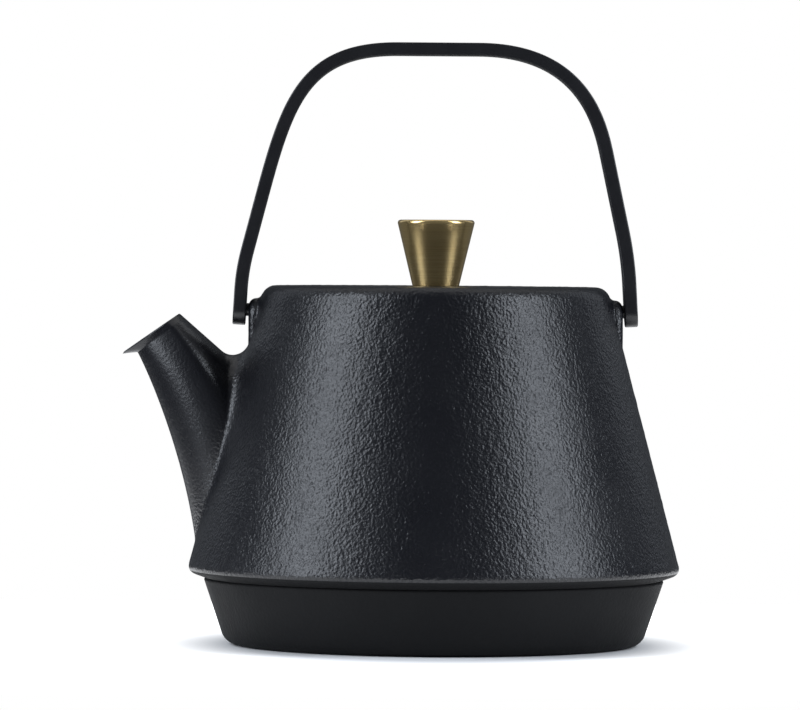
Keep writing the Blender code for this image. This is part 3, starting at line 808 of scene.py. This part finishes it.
def leg_path(bridge, bridge_pull, straight_z, leg_pull, lean, gauge, ankle_z, ankle_bend):
    """Middle of the strap from the end of the bridge down one leg to the pivot, as (distance, z) points.

    Lengths are in millimetres. The shoulder bend is a cubic Bezier, the straight leg passes at gauge from
    the axis at GAUGE_Z, and the ankle is a wide bend onto the upright shin.
    """
    lean = math.radians(lean)
    down = np.array([math.sin(lean), -math.cos(lean)])
    top = np.array([bridge, (STRAP_TOP - STRAP_T / 2.0) / MM])
    straight = np.array([gauge - (straight_z - GAUGE_Z) * math.tan(lean), straight_z])
    ankle = np.array([gauge - (ankle_z - GAUGE_Z) * math.tan(lean), ankle_z])
    corners = (top, top + np.array([bridge_pull, 0.0]), straight - down * leg_pull, straight)
    bend = bezier(corners, np.linspace(0.0, 1.0, 56))
    reach = ankle_bend * math.tan((lean - SHIN_LEAN) / 2.0)
    start, end = ankle - down * reach, ankle + SHIN_FOOT * reach
    blend = np.linspace(0.0, 1.0, 14)[:, None]
    knee = (1 - blend) ** 2 * start + 2 * blend * (1 - blend) * ankle + blend ** 2 * end
    pivot = end + SHIN_FOOT * (end[1] - pivot_z / MM) / math.cos(SHIN_LEAN)
    leg = straight + (start - straight) * np.linspace(0.0, 1.0, 8)[1:-1, None]
    shin = end + (pivot - end) * np.linspace(0.0, 1.0, 5)[1:, None]
    return np.concatenate([bend, leg, knee, shin]) * MM


rear = leg_path(14.1, 35.8, 164.5, 11.6, 12.05, 62.9, 130.7, 118.0)
front = leg_path(13.2, 31.9, 150.0, 34.0, 14.6, 61.7, 126.0, 68.0)
bridge = np.linspace(-front[0, 0], rear[0, 0], 7)[1:-1]
bridge = np.stack([bridge, np.full(len(bridge), rear[0, 1])], axis=1)
path = np.concatenate([front[::-1] * np.array([-1.0, 1.0]), bridge, rear])
tangent = unit(np.gradient(path, axis=0))
path_normal = np.stack([-tangent[:, 1], tangent[:, 0]], axis=1)
path_length = np.linalg.norm(np.diff(path, axis=0), axis=1).sum()
print(f"handle path: {len(path)} points, {path_length / MM:.0f} mm long")

# %% Handle strap
def stadium():
    """Round the stadium once: path number, outward part along the path and across it, for each column."""
    count = len(path)
    end = np.linspace(0.0, math.pi, 25)[1:-1]
    number = np.concatenate([np.arange(count), np.full(len(end), count - 1), np.arange(count)[::-1],
                             np.zeros(len(end), int)])
    along = np.concatenate([np.zeros(count), np.sin(end), np.zeros(count), -np.sin(end)])
    across = np.concatenate([np.ones(count), np.cos(end), -np.ones(count), -np.cos(end)])
    return number, along, across


def strap_grid(edge=0.5 * MM):
    """Rings from the middle of the outer face out over the edge and back along the inner face."""
    half_t = STRAP_T / 2.0
    turns = np.linspace(0.0, math.pi / 2.0, 6)
    insets = [STRAP_HALF, 0.66 * STRAP_HALF, 0.33 * STRAP_HALF]
    insets += [edge * (1.0 - math.sin(turn)) for turn in turns]
    heights = [half_t, half_t, half_t] + [half_t - edge * (1.0 - math.cos(turn)) for turn in turns]
    insets, heights = np.array(insets + insets[::-1]), np.array(heights + [-h for h in heights[::-1]])
    number, along, across = stadium()
    spot, direction, normal = path[number], tangent[number], path_normal[number]
    size = (STRAP_HALF - insets)[:, None]
    flat = spot + direction * (size * along)[..., None] + normal * heights[:, None, None]
    return np.stack([flat[..., 0], size * across, flat[..., 1]], axis=-1)


strap_mesh = carve(grid_mesh("handle_strap", strap_grid()), peg_plugs)
show("handle_strap", strap_mesh, "handle", [strap.material], ["handle_bar"])

# %% [markdown]
# Two pegs sit in the strap and turn in the ears. Their outer ends are slightly domed.

# %% Pegs
def peg_grid(side):
    """A round peg on the handle's axis whose outer end is chamfered and a little domed."""
    low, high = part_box("front_pivot_peg" if side < 0 else "rear_pivot_peg")
    inner, outer = min(abs(low.x), abs(high.x)), max(abs(low.x), abs(high.x))
    peg_r = high.y
    stations = [(0.0, inner), (peg_r - 0.3 * MM, inner), (peg_r, inner + 0.3 * MM)]
    stations += [(peg_r, outer - 0.35 * MM)]
    stations += [(peg_r * math.cos(k), outer - 0.35 * MM + 0.45 * MM * math.sin(k))
                 for k in np.linspace(0.15, math.pi / 2.0, 9)]
    radii, x = np.array(stations)[:, :1], side * np.array(stations)[:, 1:]
    angle = np.linspace(0.0, 2.0 * math.pi, 56, endpoint=False)
    return np.stack([x + 0.0 * angle, radii * np.cos(angle), pivot_z + radii * np.sin(angle)], axis=-1)


for side, word in ((-1, "front"), (1, "rear")):
    show(f"pivot_peg_{word}", grid_mesh(f"pivot_peg_{word}", peg_grid(side)), "handle",
         [strap.material], [f"{word}_pivot_peg"])

# %% [markdown]
# The lid is the same pebbled iron. Only a fine line shows where it drops into the top face.

# %% Lid
LID_COLUMNS = 320
LID_EDGE_LOW = lid_high.z - 2.4 * MM
LID_UNDER_Z = 117.2 * MM
SKIRT_R, SKIRT_INNER_R = 35.0 * MM, 32.4 * MM
SCREW_HOLE_R = 2.3 * MM
lid_profile = rounded_profile([
    (SCREW_HOLE_R, lid_high.z, 0.0, 0.9 * MM),
    (LID_R, lid_high.z, 0.5 * MM, 0.9 * MM),
    (LID_R, LID_EDGE_LOW, 0.3 * MM, 0.0),
    (SKIRT_R, LID_EDGE_LOW, 0.3 * MM, 0.0),
    (SKIRT_R, lid_low.z, 0.5 * MM, 0.0),
    (SKIRT_INNER_R, lid_low.z, 0.5 * MM, 0.0),
    (SKIRT_INNER_R, LID_UNDER_Z, 1.0 * MM, 3.0 * MM),
    (SCREW_HOLE_R, LID_UNDER_Z, 0.0, 0.0),
], arc_points=6)
lid_out = profile_outward(lid_profile, closed=True)
lid_mask = smooth_step(LID_R - lid_profile[:, 0], 0.3 * MM, 1.8 * MM)
lid_mask = (lid_profile[:, 1] > lid_high.z - 0.1 * MM) * lid_mask
lid_grid = raised(turned(lid_profile, LID_COLUMNS), turned(lid_out, LID_COLUMNS), lid_mask[:, None])
show("lid_casting", grid_mesh("lid_casting", lid_grid, round_rows=True), "lid_assembly",
     [iron.material], ["lid"])

# %% [markdown]
# The knob is turned brass. The tool leaves fine rings, so its radius carries a small random step from row
# to row, the same all the way round, and its flat top has rings as well. It sits 0.26 mm lower than in the
# solids, so that no light comes through underneath.

# %% Knob
KNOB_COLUMNS = 300
KNOB_LOW_R = 7.85 * MM
BORE_R = 2.1 * MM
BORE_TOP_Z = knob_low.z + 12.5 * MM
knob_base = knob_low.z - 0.26 * MM
knob_profile = rounded_profile([
    (0.0, knob_high.z, 0.0, 0.45 * MM),
    (knob_high.y, knob_high.z, 1.0 * MM, 0.16 * MM),
    (KNOB_LOW_R, knob_base, 0.25 * MM, 1.0 * MM),
    (BORE_R, knob_base, 0.0, 0.0),
    (BORE_R, BORE_TOP_Z, 0.0, 0.0),
    (0.0, BORE_TOP_Z, 0.0, 0.0),
], arc_points=8)
knob_out = profile_outward(knob_profile, closed=False)
tool_marks = np.random.default_rng(11).normal(0.0, 0.0025 * MM, len(knob_profile))
on_side = (knob_profile[:, 0] > 7.95 * MM) & (knob_profile[:, 1] < knob_high.z - 0.9 * MM)
on_top = (knob_profile[:, 1] > knob_high.z - 0.01 * MM) & (knob_profile[:, 0] < knob_high.y - 1.5 * MM)
knob_profile = knob_profile + knob_out * (tool_marks * (on_side + 0.6 * on_top))[:, None]
knob_mesh = grid_mesh("knob_turned", turned(knob_profile, KNOB_COLUMNS))
show("knob_turned", knob_mesh, "lid_assembly", [brass.material], ["lid_knob"])

# %% [markdown]
# The infuser is hidden until the lid comes off. Its wall and floor are sheet with rows of round holes. One
# cell of the pattern is a square with a hole in it, eight points on the square and eight on the hole, and
# numpy lays a copy of the cell at every place in the pattern at once.

# %% Perforated sheet
HOLE_PITCH = 2.3 * MM
HOLE_R = 0.62 * MM


def perforated(columns, rows):
    """Points and faces of a flat sheet of square cells with round holes, in units of one cell."""
    turn = np.arange(8) * math.pi / 4.0
    square = np.stack([np.cos(turn), np.sin(turn)], axis=1)
    square /= np.abs(square).max(axis=1, keepdims=True) * 2.0
    hole = np.stack([np.cos(turn), np.sin(turn)], axis=1) * HOLE_R / HOLE_PITCH
    cell = np.concatenate([square, hole]) + 0.5
    u, v = np.meshgrid(np.arange(columns), np.arange(rows), indexing="ij")
    corner = np.stack([u, v], axis=-1).reshape(-1, 1, 2)
    points = (corner + cell).reshape(-1, 2)
    here, after = np.arange(8), (np.arange(8) + 1) % 8
    faces = np.stack([here, after, after + 8, here + 8], axis=1)
    faces = (np.arange(len(corner)) * 16)[:, None, None] + faces
    return points, faces.reshape(-1, 4)


def sheet_mesh(name, points, faces, thickness):
    """A thin sheet thickened to both sides by Solidify, as a finished mesh."""
    mesh = bpy.data.meshes.new(name)
    mesh.from_pydata(points.tolist(), [], faces.tolist())
    shape = bmesh.new()
    shape.from_mesh(mesh)
    bmesh.ops.remove_doubles(shape, verts=shape.verts, dist=0.02 * MM)
    bmesh.ops.recalc_face_normals(shape, faces=shape.faces)
    shape.to_mesh(mesh)
    shape.free()
    thin = bpy.data.objects.new(name, mesh)
    collection.objects.link(thin)
    solidify = thin.modifiers.new("gauge", 'SOLIDIFY')
    solidify.thickness = thickness
    solidify.offset = 0.0
    depsgraph = bpy.context.evaluated_depsgraph_get()
    made = bpy.data.meshes.new_from_object(thin.evaluated_get(depsgraph))
    bpy.data.objects.remove(thin)
    print(f"{name}: {len(made.polygons)} faces")
    return made


# %% Infuser wall
wall_r = tube_high.y - 0.4 * MM
round_count = round(2.0 * math.pi * wall_r / HOLE_PITCH)
row_count = round((tube_high.z - tube_low.z - 9.0 * MM) / HOLE_PITCH)
flat, cells = perforated(round_count, row_count)
turn = flat[:, 0] * 2.0 * math.pi / round_count
wall_points = np.stack([wall_r * np.cos(turn), wall_r * np.sin(turn),
                        tube_low.z + 5.0 * MM + flat[:, 1] * HOLE_PITCH], axis=1)
holes_mesh = sheet_mesh("infuser_holes", wall_points, cells, 0.5 * MM)
show("infuser_holes", holes_mesh, "infuser", [steel.material], ["infuser_wall"], sharp=35.0)

# %% Infuser bands, rim and dished floor
holes_top = tube_low.z + 5.0 * MM + row_count * HOLE_PITCH


def steel_ring(name, corners, nodes, columns=180):
    """A turned steel piece from a closed profile."""
    profile = rounded_profile([(*corner, 0.0) for corner in corners], arc_points=5)
    mesh = grid_mesh(name, turned(profile, columns), round_rows=True)
    return show(name, mesh, "infuser", [steel.material], nodes)


steel_ring("infuser_top_band", [
    (wall_r - 0.25 * MM, tube_high.z, 0.0), (wall_r + 0.25 * MM, tube_high.z, 0.0),
    (wall_r + 0.25 * MM, holes_top - 0.1 * MM, 0.0), (wall_r - 0.25 * MM, holes_top - 0.1 * MM, 0.0)], [])
steel_ring("infuser_low_band", [
    (wall_r - 0.25 * MM, tube_low.z + 5.1 * MM, 0.0), (wall_r + 0.25 * MM, tube_low.z + 5.1 * MM, 0.0),
    (wall_r + 0.3 * MM, tube_low.z, 0.2 * MM), (wall_r - 0.35 * MM, tube_low.z, 0.2 * MM)], [])
rim_top = rim_high.z
COLLAR_R, COLLAR_INNER_R = 37.5 * MM, 36.8 * MM
steel_ring("infuser_collar", [
    (COLLAR_INNER_R, rim_top, 0.6 * MM), (rim_high.y, rim_top, 0.35 * MM),
    (rim_high.y, rim_top - 0.8 * MM, 0.35 * MM), (COLLAR_R, rim_top - 0.8 * MM, 0.4 * MM),
    (COLLAR_R, rim_low.z, 0.2 * MM), (COLLAR_INNER_R, rim_low.z, 0.2 * MM)], ["infuser_rim"])
dish_r = dish_high.y
steel_ring("infuser_dish_ring", [
    (dish_r - 6.0 * MM, dish_low.z, 0.0), (dish_r - 6.0 * MM, dish_low.z + 0.7 * MM, 0.0),
    (dish_r - 0.8 * MM, dish_low.z + 0.7 * MM, 2.2 * MM), (dish_r - 0.8 * MM, dish_high.z, 0.2 * MM),
    (dish_r, dish_high.z, 0.2 * MM), (dish_r, dish_low.z, 3.0 * MM)], ["infuser_floor"])

across_count = math.ceil(2.0 * dish_r / HOLE_PITCH)
flat, cells = perforated(across_count, across_count)
flat = (flat - across_count / 2.0) * HOLE_PITCH
centres = flat[cells.reshape(-1, 8, 4)].mean(axis=(1, 2))
kept = np.hypot(centres[:, 0], centres[:, 1]) < dish_r - 5.2 * MM
cells = cells.reshape(-1, 8, 4)[kept].reshape(-1, 4)
used, cells = np.unique(cells, return_inverse=True)
flat = flat[used]
dish_points = np.column_stack([flat, np.full(len(flat), dish_low.z + 0.36 * MM)])
floor_mesh = sheet_mesh("infuser_dish_holes", dish_points, cells.reshape(-1, 4), 0.6 * MM)
show("infuser_dish_holes", floor_mesh, "infuser", [steel.material], sharp=35.0)

# %% [markdown]
# The screw and washer under the lid are small and plain, so the solids themselves stay, in steel.

# %% Screw and washer
for name in ("knob_screw", "knob_washer"):
    node = frame["nodes"][name]
    node.data.materials.clear()
    node.data.materials.append(steel.material)

# %% [markdown]
# The studio. Two tall soft boxes to the left and right of the camera draw the two bright bands down the
# cone, and a wide soft light overhead and two weaker boxes behind light the rims. The camera's own side stays
# dark, which gives the dark band between the bright ones. The surroundings are white to the camera and dim
# to everything else. The floor is pale under the pot, where it takes the contact shadow, and further out
# it glows with painted light that grows with the distance from the pot, so that its edge runs into the white.

# %% Floor and surroundings
floor_data = bpy.data.meshes.new("floor")
FLOOR_HALF = 0.25
FLOOR_Z_LEVEL = -0.05 * MM
GLOW_START, GLOW_END = 0.068, 0.100    # distances from the axis, Y counted as 0.8 of itself
corners = [(-1, -1), (1, -1), (1, 1), (-1, 1)]
floor_points = [(x * FLOOR_HALF, y * FLOOR_HALF, FLOOR_Z_LEVEL) for x, y in corners]
floor_data.from_pydata(floor_points, [], [(0, 1, 2, 3)])
glowing_floor = Finish("glowing_floor", (0.97, 0.97, 0.97), 0.9, specular=0.0)
floor_data.materials.append(glowing_floor.material)
floor = bpy.data.objects.new("floor", floor_data)
bpy.context.scene.collection.objects.link(floor)
# Painted light: the floor emits its own light, none near the pot and full strength beyond GLOW_END, so it is
# lighter away from the contact shadow.
spread = glowing_floor.ranged(glowing_floor.distance(1.0, 0.8), 0.0, 1.0, GLOW_START, GLOW_END)
glow = glowing_floor.times(spread, 0.95)
glowing_floor.set(**{"Emission Color": (1.0, 1.0, 1.0, 1.0)})
glowing_floor.feed("Emission Strength", glow)

world = bpy.data.worlds.new("studio")
bpy.context.scene.world = world
world.use_nodes = True
tree = world.node_tree
tree.nodes.clear()


def background(colour, strength):
    """A world background of one colour."""
    node = tree.nodes.new("ShaderNodeBackground")
    node.inputs["Color"].default_value = (*colour, 1.0)
    node.inputs["Strength"].default_value = strength
    return node.outputs["Background"]


output = tree.nodes.new("ShaderNodeOutputWorld")
choose = tree.nodes.new("ShaderNodeMixShader")
rays = tree.nodes.new("ShaderNodeLightPath")
tree.links.new(rays.outputs["Is Camera Ray"], choose.inputs["Fac"])
tree.links.new(background((0.85, 0.92, 1.0), 0.10), choose.inputs[1])
tree.links.new(background((1.0, 1.0, 1.0), 1.0), choose.inputs[2])
tree.links.new(choose.outputs["Shader"], output.inputs["Surface"])

# %% Lights
AIM = Vector((-0.0119, 0.0, 0.0977))
CAMERA_TURN = math.radians(-0.6)       # the view is almost square on


def soft_box(name, azimuth, elevation, distance, width, height, radiance, colour=(0.85, 0.91, 1.0)):
    """An area light facing the pot; azimuth is measured from the camera's side, in degrees to the right.

    Its power is radiance times pi times its area.
    """
    data = bpy.data.lights.new(name, 'AREA')
    data.shape = 'RECTANGLE'
    data.size, data.size_y = width, height
    data.energy = radiance * math.pi * width * height
    data.color = colour
    light = bpy.data.objects.new(name, data)
    bpy.context.scene.collection.objects.link(light)
    turn, rise = math.radians(azimuth) + CAMERA_TURN, math.radians(elevation)
    away = Vector((math.sin(turn) * math.cos(rise), -math.cos(turn) * math.cos(rise), math.sin(rise)))
    target = Vector((0.0, 0.0, 0.08))
    light.location = target + away * distance
    light.rotation_euler = (-away).to_track_quat('-Z', 'Y').to_euler()
    light.visible_camera = False
    return light


soft_box("box_left", -66.0, 24.0, 1.5, 0.62, 1.5, 6.6)
soft_box("box_right", 64.0, 24.0, 1.5, 0.55, 1.5, 6.9)
soft_box("box_overhead", 180.0, 74.0, 1.9, 2.4, 2.0, 0.6, (1.0, 1.0, 1.0))
for word, azimuth in (("left", -135.0), ("right", 135.0)):
    soft_box(f"box_back_{word}", azimuth, 26.0, 1.8, 0.5, 1.2, 0.7)

# %% [markdown]
# The camera stands well back with a long lens, about 11 mm above the pot's top face. So the lid is seen
# almost edge on, the foot from three or four degrees above and the handle almost square on.

# %% Camera
DISTANCE = 2.1
RISE = 0.034                   # the camera's height over the point it looks at
ROLL = math.radians(0.4)
camera_data = bpy.data.cameras.new("camera")
camera_data.sensor_width = 36.0
camera_data.lens = 279.9
camera_data.clip_end = 20.0
camera = bpy.data.objects.new("camera", camera_data)
bpy.context.scene.collection.objects.link(camera)
camera.location = AIM + Vector((math.sin(CAMERA_TURN) * DISTANCE, -math.cos(CAMERA_TURN) * DISTANCE, RISE))
look = (AIM - camera.location).to_track_quat('-Z', 'Y')
camera.rotation_mode = 'QUATERNION'
camera.rotation_quaternion = look @ Quaternion((0.0, 0.0, 1.0), ROLL)
bpy.context.scene.camera = camera
bpy.context.scene.view_settings.view_transform = 'Standard'
